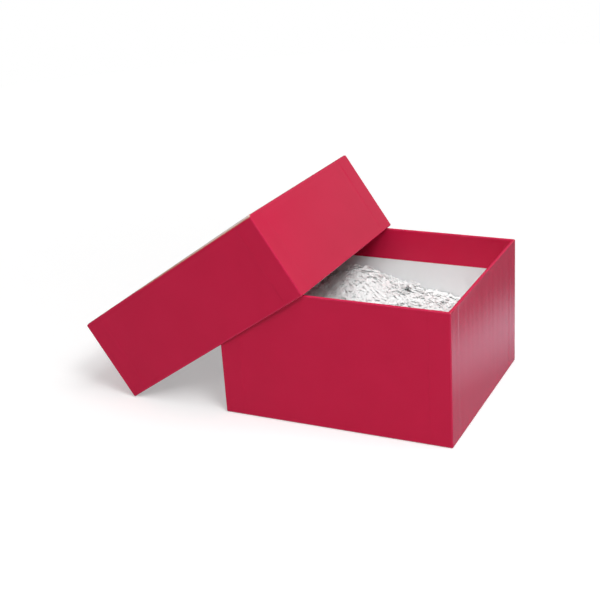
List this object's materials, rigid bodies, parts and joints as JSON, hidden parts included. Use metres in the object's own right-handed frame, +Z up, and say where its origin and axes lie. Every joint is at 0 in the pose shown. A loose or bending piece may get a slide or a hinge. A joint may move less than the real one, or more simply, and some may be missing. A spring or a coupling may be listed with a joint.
{
  "type": "storage box",
  "caption": "Rigid paper-wrapped cardboard storage box: open base holding shredded paper, with a deep lift-off lid leaning on its rim.",
  "frame": {"origin": "centre of the base's underside, on the surface that the box stands on", "axes": "+X along the base's longer side, away from the leaning lid; +Y from the front wall to the back wall; +Z up"},
  "size_m": [0.3671, 0.2026, 0.1965],
  "materials": {
    "greyboard": "matte",
    "stay_tape": "matte",
    "red_wrap": "satin",
    "white_lining": "matte",
    "shred": "matte"
  },
  "bodies": {
    "base": {"base_floor_board": "greyboard", "base_front_board": "greyboard", "base_back_board": "greyboard", "base_left_board": "greyboard", "base_right_board": "greyboard", "base_corner_stay_front_left": "stay_tape", "base_corner_stay_front_right": "stay_tape", "base_corner_stay_back_right": "stay_tape", "base_corner_stay_back_left": "stay_tape", "base_wall_wrap": "red_wrap", "base_bottom_sheet": "red_wrap", "base_wall_lining": "white_lining", "base_floor_lining": "white_lining", "shredded_paper_fill": "shred"},
    "lid": {"lid_top_board": "greyboard", "lid_front_board": "greyboard", "lid_back_board": "greyboard", "lid_left_board": "greyboard", "lid_right_board": "greyboard", "lid_corner_stay_front_left": "stay_tape", "lid_corner_stay_front_right": "stay_tape", "lid_corner_stay_back_right": "stay_tape", "lid_corner_stay_back_left": "stay_tape", "lid_wall_wrap": "red_wrap", "lid_top_sheet": "red_wrap", "lid_wall_lining": "white_lining", "lid_top_lining": "white_lining"}
  },
  "joints": [
    {"name": "lid_lift", "type": "slide", "parent": "base", "child": "lid", "axis": [0, 0, 1], "range_m": [0, 0.16]}
  ]
}
